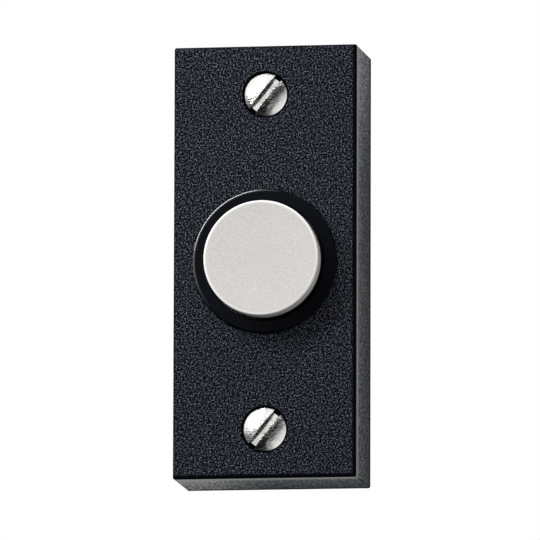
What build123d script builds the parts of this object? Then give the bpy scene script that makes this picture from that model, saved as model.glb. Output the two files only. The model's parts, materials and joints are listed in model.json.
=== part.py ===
from build123d import *
import os
from math import radians, tan

# Surface-mounted doorbell push. All sizes are in millimetres.
# The wall is the plane y = 0 and the push faces -Y. Z is up, and the origin is the middle of the back.
# A height in this file is measured from the wall towards the front, so a height h lies at y = -h.

# Case
FACE_HEIGHT = 70.0
FACE_WIDTH = 29.7
CASE_DEPTH = 15.0
CASE_DRAFT = 0.5  # degrees on each side, wider at the wall
CASE_EDGE_RADIUS = 0.35
CAVITY_CORNER_RADIUS = 1.2
SIDE_WALL = 2.0
FRONT_WALL = 2.2
RIB_THICKNESS = 1.4

# Base plate, which seats on a step inside the case
BASE_THICKNESS = 2.4
BASE_LEDGE = 0.7
BASE_CLEARANCE = 0.1

# Wood screws that fix the push to the wall
SCREW_INSET = 7.9  # from the end of the face to the screw's axis
SCREW_LENGTH = 25.0
SCREW_HEAD_RADIUS = 3.5
SCREW_DOME = 1.0
SCREW_SHANK_RADIUS = 1.35
SCREW_THREAD_RADIUS = 1.75
SCREW_POINT_LENGTH = 4.0
SCREW_TIP_RADIUS = 0.15
SCREW_RUNOUT = 0.3  # where the shank widens to the thread, just behind the wall plane
SCREW_SLOT_WIDTH = 1.1
SCREW_SLOT_DEPTH = 1.5
SCREW_SLOT_ANGLE = 51.5
SCREW_HEAD_GAP = 0.32  # dark ring between the head and the edge of its recess
SCREW_RECESS_DEPTH = 0.9  # straight wall of the recess, above its cone
SLOT_OVERRUN = 1.0  # how far the cutter of a driver slot reaches past the head
SCREW_HOLE_CLEARANCE = 0.35
PILLAR_WALL = 2.4

# Push cap
CAP_RADIUS = 9.3
CAP_PROUD = 4.4
CAP_DISH = 0.25  # hollow for the fingertip
CAP_EDGE_RADIUS = 0.3
CAP_RIM_LAND = 0.2
CAP_WALL = 1.4
CAP_TOP = 1.8
CAP_RIB_COUNT = 4
CAP_RIB_DEPTH = 2.4
CAP_RIB_THICKNESS = 1.0
CAP_FLANGE_WIDTH = 1.25
CAP_FLANGE_THICKNESS = 1.0
CAP_TRAVEL = 2.0
CAP_RUNNING_GAP = 0.3
REST_GAP = 0.05  # between pieces that bear on each other at rest

# Bezel ring, which snaps into the case and guides the cap
RING_FLANGE_WIDTH = 1.1
RING_RAISE = 0.7
RING_FALL = 0.12  # its face slopes down to the outside
RING_OUTER_EDGE_RADIUS = 0.3
RING_INNER_EDGE_RADIUS = 0.15
RING_NECK_WALL = 1.0
RING_FIT = 0.1
RING_BARB = 0.35
RING_BARB_LAND = 0.3
RING_SKIRT = 0.9  # how far the neck reaches past the inside of the front wall
RING_SLIT_COUNT = 6
RING_SLIT_WIDTH = 1.2

# Return spring and what locates it
SPRING_LENGTH = 10.6
SPRING_RADIUS = 2.75  # to the middle of the wire
SPRING_WIRE_RADIUS = 0.25
SPRING_TURNS = 7.5
SPRING_CLEARANCE = 0.4
SPRING_BOSS_WALL = 1.0
POST_HEIGHT = 4.0
POST_CHAMFER = 0.4
STEM_GAP = 0.6  # left between stem and post when the cap is fully in

# Contact strips
STRIP_WIDTH = 5.0
STRIP_THICKNESS = 0.6
STRIP_END_RADIUS = 1.2
STRIP_CLEARANCE = 0.15
STRIP_INSET = 0.5
LEAF_THICKNESS = 0.35
LEAF_ANGLE = 35.0
LEAF_BEND_RADIUS = 1.5
LEAF_CLEARANCE = 0.9  # under the cap's flange when the cap is fully in
CONTACT_SPACING = 0.9
CONTACT_OVERTRAVEL = 0.05
PRESSER_WIDTH = 2.0
PRESSER_THICKNESS = 1.8
PRESSER_NOSE_RADIUS = 0.5
TIP_REACH = 5.3  # from the push axis to the contact tips
TIP_RADIUS = 1.2
TIP_HEIGHT = 0.4
TIP_SHANK_RADIUS = 0.6
TIP_TAIL_RADIUS = 0.9
TIP_TAIL_HEIGHT = 0.2
TIP_MARGIN = 2.2

# Terminals, rivets and the pads that carry them
PILLAR_CLEARANCE = 0.6
GUIDE_THICKNESS = 0.8
GUIDE_HEIGHT = 0.9
TERMINAL_INSET = 4.0
TERMINAL_RADIUS = 1.5
TERMINAL_HEAD_RADIUS = 2.75
TERMINAL_HEAD_HEIGHT = 2.0
TERMINAL_SLOT_WIDTH = 0.8
TERMINAL_SLOT_DEPTH = 1.0
TERMINAL_TIP_SINK = 0.4
TERMINAL_CLEARANCE = 0.1
THREAD_FIT = 0.03
CLAMP_THICKNESS = 0.8
CLAMP_CORNER_RADIUS = 0.6
NUT_WIDTH = 5.5
NUT_THICKNESS = 1.8
NUT_CHAMFER = 0.3
NUT_CLEARANCE = 0.1
NUT_SINK = 0.1
RIVET_SPACING = 5.0
RIVET_MARGIN = 2.2
RIVET_RADIUS = 0.75
RIVET_FIT = 0.05
RIVET_HEAD_RADIUS = 1.4
RIVET_HEAD_HEIGHT = 0.6
RIVET_TAIL_RADIUS = 1.3
RIVET_TAIL_HEIGHT = 0.5
RIVET_SINK = 0.2
RIVET_SINK_CLEARANCE = 0.3

# Small screws that hold the base in the case
BASE_SCREW_INSET = 3.3
BASE_SCREW_RADIUS = 0.8
BASE_SCREW_LENGTH = 6.0
BASE_SCREW_HEAD_RADIUS = 1.95
BASE_SCREW_HEAD_HEIGHT = 1.3
BASE_SCREW_SINK = 0.2
BASE_SCREW_RECESS_WIDTH = 0.6
BASE_SCREW_RECESS_LENGTH = 2.2
BASE_SCREW_RECESS_DEPTH = 0.7
BASE_SCREW_CLEARANCE = 0.3
BASE_SCREW_FIT = 0.05
BASE_SCREW_TIP_ROOM = 0.8
BOSS_WALL = 1.75

# Cable entry in the base
CABLE_SLOT_WIDTH = 6.4
CABLE_SLOT_LENGTH = 18.0
CABLE_SLOT_SPACING = 0.6

# Sizes that follow from those above
draft_run = CASE_DEPTH * tan(radians(CASE_DRAFT))
back_width = FACE_WIDTH + 2 * draft_run
back_height = FACE_HEIGHT + 2 * draft_run
pocket_width = back_width - 2 * (SIDE_WALL - BASE_LEDGE)
pocket_height = back_height - 2 * (SIDE_WALL - BASE_LEDGE)
cavity_width = back_width - 2 * SIDE_WALL
cavity_height = back_height - 2 * SIDE_WALL

screw_z = FACE_HEIGHT / 2 - SCREW_INSET
screw_hole_radius = SCREW_THREAD_RADIUS + SCREW_HOLE_CLEARANCE
recess_radius = SCREW_HEAD_RADIUS + SCREW_HEAD_GAP
screw_rim = CASE_DEPTH - SCREW_HEAD_GAP + REST_GAP
pillar_radius = screw_hole_radius + PILLAR_WALL

ring_bore_radius = CAP_RADIUS + CAP_RUNNING_GAP
neck_radius = ring_bore_radius + RING_NECK_WALL
ring_hole_radius = neck_radius + RING_FIT
ring_radius = neck_radius + RING_FLANGE_WIDTH
front_inside = CASE_DEPTH - FRONT_WALL
ring_end = front_inside - RING_SKIRT
barb_top = front_inside - REST_GAP

cap_face = CASE_DEPTH + CAP_PROUD
cap_ceiling = cap_face - CAP_TOP
cap_inner_radius = CAP_RADIUS - CAP_WALL
flange_radius = CAP_RADIUS + CAP_FLANGE_WIDTH
flange_top = ring_end - REST_GAP
flange_bottom = flange_top - CAP_FLANGE_THICKNESS

spring_seat = BASE_THICKNESS + SPRING_LENGTH
spring_outer_radius = SPRING_RADIUS + SPRING_WIRE_RADIUS
post_radius = SPRING_RADIUS - SPRING_WIRE_RADIUS - SPRING_CLEARANCE
post_top = BASE_THICKNESS + POST_HEIGHT
stem_end = post_top + STEM_GAP + CAP_TRAVEL
boss_radius = spring_outer_radius + SPRING_BOSS_WALL

leaf_top = flange_bottom - CAP_TRAVEL - LEAF_CLEARANCE
leaf_bottom = leaf_top - LEAF_THICKNESS
strip_top = leaf_bottom - 2 * TIP_HEIGHT - (CAP_TRAVEL - CONTACT_OVERTRAVEL)
pad_top = strip_top - STRIP_THICKNESS
presser_end = leaf_top + REST_GAP
contact_x = spring_outer_radius + CONTACT_SPACING + STRIP_WIDTH / 2
guide_offset = STRIP_WIDTH / 2 + STRIP_CLEARANCE
pad_width = 2 * (guide_offset + GUIDE_THICKNESS)

pad_end = screw_z - pillar_radius - PILLAR_CLEARANCE
strip_end = pad_end - STRIP_INSET
terminal_z = strip_end - TERMINAL_INSET
rivet_z = terminal_z - RIVET_SPACING
leaf_bend = rivet_z - RIVET_MARGIN
terminal_hole_radius = TERMINAL_RADIUS + TERMINAL_CLEARANCE
nut_seat = NUT_SINK + NUT_THICKNESS
rivet_seat = RIVET_SINK + RIVET_TAIL_HEIGHT

base_screw_x = cavity_width / 2 - BASE_SCREW_INSET
base_screw_z = cavity_height / 2 - BASE_SCREW_INSET
base_screw_seat = BASE_SCREW_SINK + BASE_SCREW_HEAD_HEIGHT
base_screw_tip = base_screw_seat + BASE_SCREW_LENGTH
pilot_radius = BASE_SCREW_RADIUS + BASE_SCREW_FIT
boss_outer_radius = pilot_radius + BOSS_WALL
base_screw_places = [(base_screw_x, base_screw_z), (-base_screw_x, -base_screw_z)]

cable_slot_x = -(spring_outer_radius + CABLE_SLOT_SPACING + CABLE_SLOT_WIDTH / 2)


def level(height):
    """Sketch plane parallel to the wall: local x runs across, local y runs up, extrusions go forward."""
    return Plane.XZ.offset(height)


def raised(sketch, bottom, top, taper=0.0):
    """Sketch carried from one height above the wall to another."""
    return extrude(level(bottom) * sketch, top - bottom, taper=taper)


def turned(points, radii=0.0):
    """Solid turned about the push axis from (radius, height) points, with rounded corners."""
    outline = FilletPolyline(*[(radius, -height) for radius, height in points], radius=radii, close=True)
    return revolve(make_face(outline), Axis.Y)


def slot_cutter(width, length, bottom, top, angle=0.0):
    """Straight bar that cuts a driver slot or a slit, centred on the push axis."""
    return raised(Rot(0, 0, angle) * Rectangle(length, width), bottom, top)


def front_cover():
    """Five-walled moulded case with screw pillars, bosses for the base screws and a step for the base."""
    body = raised(Rectangle(back_width, back_height), 0, CASE_DEPTH, CASE_DRAFT)
    back_edges = body.faces().sort_by(Axis.Y)[-1].edges()
    body = fillet(body.edges() - back_edges, CASE_EDGE_RADIUS)
    cavity = RectangleRounded(cavity_width, cavity_height, CAVITY_CORNER_RADIUS)
    body -= raised(cavity, 0, front_inside, CASE_DRAFT)
    body -= raised(RectangleRounded(pocket_width, pocket_height, CAVITY_CORNER_RADIUS), 0, BASE_THICKNESS)

    rib_length = cavity_height / 2 - screw_z + SIDE_WALL / 2
    recess_floor = CASE_DEPTH - SCREW_RECESS_DEPTH
    recess = turned([
        (0, CASE_DEPTH - recess_radius),
        (recess_radius - SCREW_RECESS_DEPTH, recess_floor),
        (recess_radius, recess_floor),
        (recess_radius, CASE_DEPTH),
        (0, CASE_DEPTH),
    ])
    for side in (1, -1):
        body += raised(Pos(0, side * screw_z) * Circle(pillar_radius), BASE_THICKNESS, front_inside)
        rib = Pos(0, side * (screw_z + rib_length / 2)) * Rectangle(RIB_THICKNESS, rib_length)
        body += raised(rib, BASE_THICKNESS, front_inside)
    for x, z in base_screw_places:
        body += raised(Pos(x, z) * Circle(boss_outer_radius), BASE_THICKNESS, front_inside)
        body -= raised(Pos(x, z) * Circle(pilot_radius), BASE_THICKNESS, base_screw_tip + BASE_SCREW_TIP_ROOM)
    for side in (1, -1):
        body -= raised(Pos(0, side * screw_z) * Circle(screw_hole_radius), 0, CASE_DEPTH)
        body -= Pos(0, 0, side * screw_z) * recess
    return body - raised(Circle(ring_hole_radius), front_inside, CASE_DEPTH)


def bezel_ring():
    """Collar with a rounded rim on the face and a slit neck whose barb catches behind the front wall."""
    points = [
        (ring_bore_radius, ring_end),
        (neck_radius - RING_FIT, ring_end),
        (neck_radius + RING_BARB, barb_top - RING_BARB_LAND),
        (neck_radius + RING_BARB, barb_top),
        (neck_radius, barb_top),
        (neck_radius, CASE_DEPTH),
        (ring_radius, CASE_DEPTH),
        (ring_radius, CASE_DEPTH + RING_RAISE - RING_FALL),
        (ring_bore_radius, CASE_DEPTH + RING_RAISE),
    ]
    ring = turned(points, [0, 0, 0, 0, 0, 0, 0, RING_OUTER_EDGE_RADIUS, RING_INNER_EDGE_RADIUS])
    slit_length = neck_radius + RING_BARB + RING_FIT
    for index in range(RING_SLIT_COUNT):
        slit = Pos(slit_length / 2, 0) * Rectangle(slit_length, RING_SLIT_WIDTH)
        turned_slit = Rot(0, 0, index * 360 / RING_SLIT_COUNT) * slit
        ring -= raised(turned_slit, ring_end, front_inside + FRONT_WALL / 2)
    return ring


def push_cap():
    """Hollow cap: dished face, retaining flange, ribbed spring boss, stem and the presser for the leaf."""
    shell_points = [
        (0, flange_bottom),
        (flange_radius, flange_bottom),
        (flange_radius, flange_top),
        (CAP_RADIUS, flange_top),
        (CAP_RADIUS, cap_face),
        (0, cap_face),
    ]
    cap = turned(shell_points, [0, 0, 0, 0, CAP_EDGE_RADIUS, 0])
    dish_edge = CAP_RADIUS - CAP_EDGE_RADIUS - CAP_RIM_LAND
    dish_radius = (dish_edge ** 2 + CAP_DISH ** 2) / (2 * CAP_DISH)
    cap -= Pos(0, CAP_DISH - cap_face - dish_radius, 0) * Sphere(dish_radius)
    cap -= raised(Circle(cap_inner_radius), flange_bottom, cap_ceiling)

    cap += raised(Circle(boss_radius), spring_seat, cap_ceiling)
    cap += raised(Circle(post_radius), stem_end, cap_ceiling)
    rib_length = cap_inner_radius - boss_radius + CAP_WALL
    rib_middle = (cap_inner_radius + boss_radius) / 2
    for index in range(CAP_RIB_COUNT):
        rib = Pos(rib_middle, 0) * Rectangle(rib_length, CAP_RIB_THICKNESS)
        rib = Rot(0, 0, index * 360 / CAP_RIB_COUNT) * rib
        cap += raised(rib, cap_ceiling - CAP_RIB_DEPTH, cap_ceiling)

    presser_outline = Pos(contact_x, 0) * Rectangle(PRESSER_WIDTH, PRESSER_THICKNESS)
    presser = raised(presser_outline, presser_end, cap_ceiling)
    nose = presser.edges().filter_by(Axis.X).sort_by(Axis.Y)[-2:]
    cap += fillet(nose, PRESSER_NOSE_RADIUS)
    stiffener_length = CAP_RADIUS - CAP_WALL / 2 - contact_x
    stiffener = Pos(contact_x + stiffener_length / 2, 0) * Rectangle(stiffener_length, CAP_RIB_THICKNESS)
    return cap + raised(stiffener, flange_bottom, cap_ceiling)


def return_spring():
    """Coil spring with ground ends, between the base and the cap's boss."""
    pitch = SPRING_LENGTH / SPRING_TURNS
    coil = Helix(pitch, SPRING_LENGTH, SPRING_RADIUS, center=(0, -BASE_THICKNESS, 0), direction=(0, -1, 0))
    wire = sweep(Plane(origin=coil @ 0, z_dir=coil % 0) * Circle(SPRING_WIRE_RADIUS), path=coil)
    return wire & raised(Circle(spring_outer_radius + SPRING_CLEARANCE), BASE_THICKNESS, spring_seat)


def base_plate():
    """Moulded base with a pad for each contact strip, a post for the spring and a slot for the cable."""
    outline = RectangleRounded(
        pocket_width - 2 * BASE_CLEARANCE, pocket_height - 2 * BASE_CLEARANCE, CAVITY_CORNER_RADIUS
    )
    base = raised(outline, 0, BASE_THICKNESS)
    post = raised(Circle(post_radius), BASE_THICKNESS, post_top)
    base += chamfer(post.faces().sort_by(Axis.Y)[0].edges(), POST_CHAMFER)

    for inner_end, outer_end in ((leaf_bend, pad_end), (TIP_MARGIN - TIP_REACH, -pad_end)):
        pad_middle = (inner_end + outer_end) / 2
        pad_length = abs(outer_end - inner_end)
        base += raised(Pos(contact_x, pad_middle) * Rectangle(pad_width, pad_length), BASE_THICKNESS, pad_top)
        for side in (1, -1):
            guide_x = contact_x + side * (guide_offset + GUIDE_THICKNESS / 2)
            guide = Pos(guide_x, pad_middle) * Rectangle(GUIDE_THICKNESS, pad_length)
            base += raised(guide, pad_top, pad_top + GUIDE_HEIGHT)

    nut_pocket = Rectangle(NUT_WIDTH + 2 * NUT_CLEARANCE, NUT_WIDTH + 2 * NUT_CLEARANCE)
    for side in (1, -1):
        base -= raised(Pos(0, side * screw_z) * Circle(screw_hole_radius), 0, BASE_THICKNESS)
        base -= raised(Pos(contact_x, side * terminal_z) * Circle(terminal_hole_radius), 0, pad_top)
        base -= raised(Pos(contact_x, side * terminal_z) * nut_pocket, 0, nut_seat)
        base -= raised(Pos(contact_x, side * rivet_z) * Circle(RIVET_RADIUS + RIVET_FIT), 0, pad_top)
        tail_pocket = Circle(RIVET_TAIL_RADIUS + RIVET_SINK_CLEARANCE)
        base -= raised(Pos(contact_x, side * rivet_z) * tail_pocket, 0, rivet_seat)
    for x, z in base_screw_places:
        base -= raised(Pos(x, z) * Circle(BASE_SCREW_RADIUS + BASE_SCREW_CLEARANCE), 0, BASE_THICKNESS)
        base -= raised(Pos(x, z) * Circle(BASE_SCREW_HEAD_RADIUS + BASE_SCREW_CLEARANCE), 0, base_screw_seat)
    cable_slot = SlotOverall(CABLE_SLOT_LENGTH, CABLE_SLOT_WIDTH, rotation=90)
    return base - raised(Pos(cable_slot_x, 0) * cable_slot, 0, BASE_THICKNESS)


def strip_drills(side):
    """Cylinders that drill a strip for its terminal, its rivet and its tip; side is 1 above, -1 below."""
    places = [
        (side * terminal_z, terminal_hole_radius),
        (side * rivet_z, RIVET_RADIUS + RIVET_FIT),
        (-TIP_REACH, TIP_SHANK_RADIUS),
    ]
    return [raised(Pos(contact_x, z) * Circle(radius), 0, front_inside) for z, radius in places]


def moving_contact():
    """Sprung leaf, bent up from its pad to lie under the presser."""
    run = (leaf_bottom - pad_top) / tan(radians(LEAF_ANGLE))
    low = pad_top + LEAF_THICKNESS / 2
    high = leaf_bottom + LEAF_THICKNESS / 2
    free_end = -TIP_REACH - TIP_MARGIN
    points = [(-low, strip_end), (-low, leaf_bend), (-high, leaf_bend - run), (-high, free_end)]
    bent = trace(FilletPolyline(*points, radius=LEAF_BEND_RADIUS), LEAF_THICKNESS)
    leaf = extrude(Plane.YZ.offset(contact_x) * bent, STRIP_WIDTH / 2, both=True)
    corners = leaf.edges().filter_by(Axis.Y).sort_by(Axis.Z)[:2]
    leaf = fillet(corners, STRIP_END_RADIUS)
    return leaf - strip_drills(1)


def fixed_contact():
    """Flat brass strip under the free end of the leaf."""
    inner_end = TIP_MARGIN - TIP_REACH
    length = strip_end + inner_end
    outline = Pos(contact_x, (inner_end - strip_end) / 2) * Rectangle(STRIP_WIDTH, length)
    strip = raised(outline, pad_top, strip_top)
    corners = strip.edges().filter_by(Axis.Y).sort_by(Axis.Z)[-2:]
    strip = fillet(corners, STRIP_END_RADIUS)
    return strip - strip_drills(-1)


def contact_tip(strip_face, into_strip, tail_height):
    """Riveted tip: a domed face on one side of a strip, a shank through it and a tail on the other side."""
    outward = -1 if into_strip > 0 else 1
    dome_radius = (TIP_RADIUS ** 2 + TIP_HEIGHT ** 2) / (2 * TIP_HEIGHT)
    crown = strip_face + outward * TIP_HEIGHT
    dome = Pos(0, -(crown - outward * dome_radius), 0) * Sphere(dome_radius)
    low, high = sorted((strip_face, crown))
    tip = dome & raised(Circle(TIP_RADIUS), low, high)
    back = strip_face + into_strip
    tip += raised(Circle(TIP_SHANK_RADIUS), *sorted((strip_face, back)))
    if tail_height:
        tip += raised(Circle(TIP_TAIL_RADIUS), *sorted((back, back - outward * tail_height)))
    return Pos(contact_x, 0, -TIP_REACH) * tip


def terminal_screw(side, seat):
    """Cheese-head terminal screw with its head on the clamp."""
    head_top = seat + TERMINAL_HEAD_HEIGHT
    screw = raised(Circle(TERMINAL_HEAD_RADIUS), seat, head_top)
    screw += raised(Circle(TERMINAL_RADIUS), TERMINAL_TIP_SINK, seat)
    slot_floor = head_top - TERMINAL_SLOT_DEPTH
    slot_length = 2 * (TERMINAL_HEAD_RADIUS + SLOT_OVERRUN)
    screw -= slot_cutter(TERMINAL_SLOT_WIDTH, slot_length, slot_floor, head_top)
    return Pos(contact_x, 0, side * terminal_z) * screw


def wire_clamp(side, seat):
    """Square clamp washer on its strip."""
    plate = RectangleRounded(STRIP_WIDTH, STRIP_WIDTH, CLAMP_CORNER_RADIUS) - Circle(terminal_hole_radius)
    return raised(Pos(contact_x, side * terminal_z) * plate, seat, seat + CLAMP_THICKNESS)


def terminal_nut(side):
    """Square nut in its pocket at the back of the base."""
    nut = raised(Rectangle(NUT_WIDTH, NUT_WIDTH), NUT_SINK, nut_seat)
    nut = chamfer(nut.edges().filter_by(Axis.Y), NUT_CHAMFER)
    nut -= raised(Circle(TERMINAL_RADIUS + THREAD_FIT), NUT_SINK, nut_seat)
    return Pos(contact_x, 0, side * terminal_z) * nut


def contact_rivet(side, seat):
    """Rivet through a strip and its pad, with a formed tail sunk in the back of the base."""
    rivet = turned([
        (0, RIVET_SINK),
        (RIVET_TAIL_RADIUS, RIVET_SINK),
        (RIVET_TAIL_RADIUS, rivet_seat),
        (RIVET_RADIUS, rivet_seat),
        (RIVET_RADIUS, seat),
        (RIVET_HEAD_RADIUS, seat),
        (RIVET_HEAD_RADIUS, seat + RIVET_HEAD_HEIGHT),
        (0, seat + RIVET_HEAD_HEIGHT),
    ])
    return Pos(contact_x, 0, side * rivet_z) * rivet


def base_screw(x, z):
    """Pan-head screw with a cross recess, driven from the back."""
    screw = raised(Circle(BASE_SCREW_HEAD_RADIUS), BASE_SCREW_SINK, base_screw_seat)
    screw += raised(Circle(BASE_SCREW_RADIUS), base_screw_seat, base_screw_tip)
    recess_end = BASE_SCREW_SINK + BASE_SCREW_RECESS_DEPTH
    for angle in (0, 90):
        screw -= slot_cutter(
            BASE_SCREW_RECESS_WIDTH, BASE_SCREW_RECESS_LENGTH, BASE_SCREW_SINK, recess_end, angle
        )
    return Pos(x, 0, z) * screw


def fixing_screw(side):
    """Raised countersunk wood screw: domed slotted head, plain shank, thread envelope and point."""
    tip = screw_rim - SCREW_LENGTH
    neck = screw_rim - (SCREW_HEAD_RADIUS - SCREW_SHANK_RADIUS)
    screw = turned([
        (0, screw_rim),
        (SCREW_HEAD_RADIUS, screw_rim),
        (SCREW_SHANK_RADIUS, neck),
        (SCREW_SHANK_RADIUS, 0),
        (SCREW_THREAD_RADIUS, -SCREW_RUNOUT),
        (SCREW_THREAD_RADIUS, tip + SCREW_POINT_LENGTH),
        (SCREW_TIP_RADIUS, tip),
        (0, tip),
    ])
    dome_radius = (SCREW_HEAD_RADIUS ** 2 + SCREW_DOME ** 2) / (2 * SCREW_DOME)
    head_top = screw_rim + SCREW_DOME
    dome = Pos(0, dome_radius - head_top, 0) * Sphere(dome_radius)
    screw += dome & raised(Circle(SCREW_HEAD_RADIUS), screw_rim, head_top)
    slot_floor = head_top - SCREW_SLOT_DEPTH
    slot_length = 2 * (SCREW_HEAD_RADIUS + SLOT_OVERRUN)
    screw -= slot_cutter(SCREW_SLOT_WIDTH, slot_length, slot_floor, head_top, SCREW_SLOT_ANGLE)
    return Pos(0, 0, side * screw_z) * screw


leaf_seat = pad_top + LEAF_THICKNESS
pieces = {
    "front_cover": front_cover(),
    "bezel_ring": bezel_ring(),
    "push_cap": push_cap(),
    "return_spring": return_spring(),
    "base_plate": base_plate(),
    "moving_contact": moving_contact(),
    "fixed_contact": fixed_contact(),
    "moving_contact_tip": contact_tip(leaf_bottom, LEAF_THICKNESS, TIP_TAIL_HEIGHT),
    "fixed_contact_tip": contact_tip(strip_top, -STRIP_THICKNESS, 0),
    "base_screws": Compound([base_screw(x, z).solid() for x, z in base_screw_places]),
}
for name, side, strip_seat in (("upper", 1, leaf_seat), ("lower", -1, strip_top)):
    pieces[f"{name}_terminal_screw"] = terminal_screw(side, strip_seat + CLAMP_THICKNESS)
    pieces[f"{name}_wire_clamp"] = wire_clamp(side, strip_seat)
    pieces[f"{name}_terminal_nut"] = terminal_nut(side)
    pieces[f"{name}_contact_rivet"] = contact_rivet(side, strip_seat)
    pieces[f"{name}_fixing_screw"] = fixing_screw(side)

os.makedirs("parts", exist_ok=True)
for name, piece in pieces.items():
    export_step(piece, f"parts/{name}.step")
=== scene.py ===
# %% [markdown]
# # Doorbell push button
# A surface-mounted bell push: a black case with a sparkling moulded grain, a polished black collar, a
# pale grey cap on a spring, and two bright slotted wall screws. The solids come from CAD and are loaded
# as a fixed frame. This lesson adds the camera, the light, the finishes, and the few pieces that CAD
# leaves plain.

# %% Load the frame
import json
import math

import bpy
from mathutils import Matrix, Quaternion, Vector


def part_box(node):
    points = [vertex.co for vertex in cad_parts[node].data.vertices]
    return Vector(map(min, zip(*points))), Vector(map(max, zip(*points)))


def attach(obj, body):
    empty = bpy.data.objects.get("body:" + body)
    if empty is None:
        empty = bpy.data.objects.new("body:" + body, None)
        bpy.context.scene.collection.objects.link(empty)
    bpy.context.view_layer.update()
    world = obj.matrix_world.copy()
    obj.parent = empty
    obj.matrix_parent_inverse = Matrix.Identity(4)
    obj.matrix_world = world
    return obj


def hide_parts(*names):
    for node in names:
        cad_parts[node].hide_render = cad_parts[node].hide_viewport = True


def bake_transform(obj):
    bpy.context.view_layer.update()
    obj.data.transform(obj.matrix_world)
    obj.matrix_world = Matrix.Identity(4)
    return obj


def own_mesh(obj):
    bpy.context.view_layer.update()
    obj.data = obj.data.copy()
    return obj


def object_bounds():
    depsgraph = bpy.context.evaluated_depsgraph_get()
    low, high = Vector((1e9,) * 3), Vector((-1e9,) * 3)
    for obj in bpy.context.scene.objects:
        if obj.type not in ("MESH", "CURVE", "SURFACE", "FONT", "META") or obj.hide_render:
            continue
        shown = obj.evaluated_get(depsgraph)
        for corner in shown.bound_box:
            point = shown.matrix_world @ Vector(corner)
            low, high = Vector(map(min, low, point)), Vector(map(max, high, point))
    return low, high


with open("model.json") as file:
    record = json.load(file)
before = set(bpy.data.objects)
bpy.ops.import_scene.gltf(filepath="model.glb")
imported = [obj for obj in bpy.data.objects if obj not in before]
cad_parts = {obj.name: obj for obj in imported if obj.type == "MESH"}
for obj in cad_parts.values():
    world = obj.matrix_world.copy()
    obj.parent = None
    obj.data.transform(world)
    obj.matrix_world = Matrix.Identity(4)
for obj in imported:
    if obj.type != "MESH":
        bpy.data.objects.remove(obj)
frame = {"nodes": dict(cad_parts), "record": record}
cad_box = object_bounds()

MM = 0.001
scene = bpy.context.scene
scene.view_settings.view_transform = "Standard"


def in_mm(corners):
    """Corners of a box in millimetres, rounded for printing."""
    return [[round(value / MM, 2) for value in corner] for corner in corners]


print("CAD nodes:", len(frame["nodes"]), "box in mm:", in_mm(cad_box))

# %% [markdown]
# ## Camera
# The photograph was taken from a little to the right of the push and from a little below it, with a long
# lens: the sides of the case stay almost parallel. A camera can be placed by hand in the viewport, but
# three angles and a distance are easier to correct one at a time. The lens follows from the width of the
# picture at the wall.

# %% Camera at the photograph's viewing angle
AZIMUTH = math.radians(8.87)
ELEVATION = math.radians(-7.96)
ROLL = math.radians(0.17)
DISTANCE = 1.5
PICTURE_WIDTH = 87.45 * MM
AIM_RIGHT, AIM_UP = -1.48 * MM, 0.66 * MM

towards_camera = Vector((
    math.sin(AZIMUTH) * math.cos(ELEVATION),
    -math.cos(AZIMUTH) * math.cos(ELEVATION),
    math.sin(ELEVATION),
))
level_turn = (-towards_camera).to_track_quat("-Z", "Y")
bpy.ops.object.select_all(action="DESELECT")
bpy.ops.object.camera_add()
camera = bpy.context.object
camera.name = "photo_camera"
camera.rotation_mode = "QUATERNION"
camera.rotation_quaternion = level_turn @ Quaternion((0, 0, 1), ROLL)
camera.location = towards_camera * DISTANCE + level_turn @ Vector((AIM_RIGHT, AIM_UP, 0))
camera.data.lens = camera.data.sensor_width * DISTANCE / PICTURE_WIDTH
camera.data.clip_start, camera.data.clip_end = 0.1, 10
scene.camera = camera
print("lens in mm:", round(camera.data.lens, 1))

# %% [markdown]
# ## Node helpers
# Every finish below is a small tree of shader nodes. They could be wired one line at a time, but a few
# helpers that add a node, set its options and fill its sockets keep each tree short enough to read.


# %% Helpers that add nodes
def node(tree, kind, inputs=None, **options):
    """Add a node. An input is a value, or another node's output socket, which is then linked."""
    made = tree.nodes.new(kind)
    for name, value in options.items():
        setattr(made, name, value)
    for key, value in (inputs or {}).items():
        if isinstance(value, bpy.types.NodeSocket):
            tree.links.new(value, made.inputs[key])
        else:
            made.inputs[key].default_value = value
    return made


def calc(tree, operation, first, second=0.0):
    """Add a Math node and return its result."""
    return node(tree, "ShaderNodeMath", {0: first, 1: second}, operation=operation).outputs[0]


def fit(tree, value, low, high, to_low=0.0, to_high=1.0, smooth=False):
    """Add a Map Range node, which stretches low..high to to_low..to_high, and return its result."""
    kind = "SMOOTHSTEP" if smooth else "LINEAR"
    sockets = {"Value": value, "From Min": low, "From Max": high, "To Min": to_low, "To Max": to_high}
    return node(tree, "ShaderNodeMapRange", sockets, interpolation_type=kind).outputs["Result"]


def tint(tree, share, first, second):
    """Add a Mix node between two colours and return its result."""
    mixed = node(tree, "ShaderNodeMix", {"Factor": share}, data_type="RGBA")
    for socket, colour in zip((mixed.inputs[6], mixed.inputs[7]), (first, second)):
        if isinstance(colour, bpy.types.NodeSocket):
            tree.links.new(colour, socket)
        else:
            socket.default_value = (*colour, 1)
    return mixed.outputs[2]


def along(tree, vector, axis):
    """Add a Vector Math node that measures a vector along an axis, and return its result."""
    return node(tree, "ShaderNodeVectorMath", {0: vector, 1: axis}, operation="DOT_PRODUCT").outputs["Value"]


print("node helpers ready")

# %% [markdown]
# ## The white studio
# The bright screws mirror the room they were photographed in. The upper left half of each dome is white,
# then comes a dark band, and the lower right edge is light again, as if there were white cloth on the
# left, a dark gap round the camera and a white card on the right. The lower left is in shade. Panels
# could be built, but a world shader can hold all this. The angle of a direction, measured from the front
# towards the lower right, goes into a colour ramp with one stop for each change. The camera itself sees
# plain white.

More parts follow.
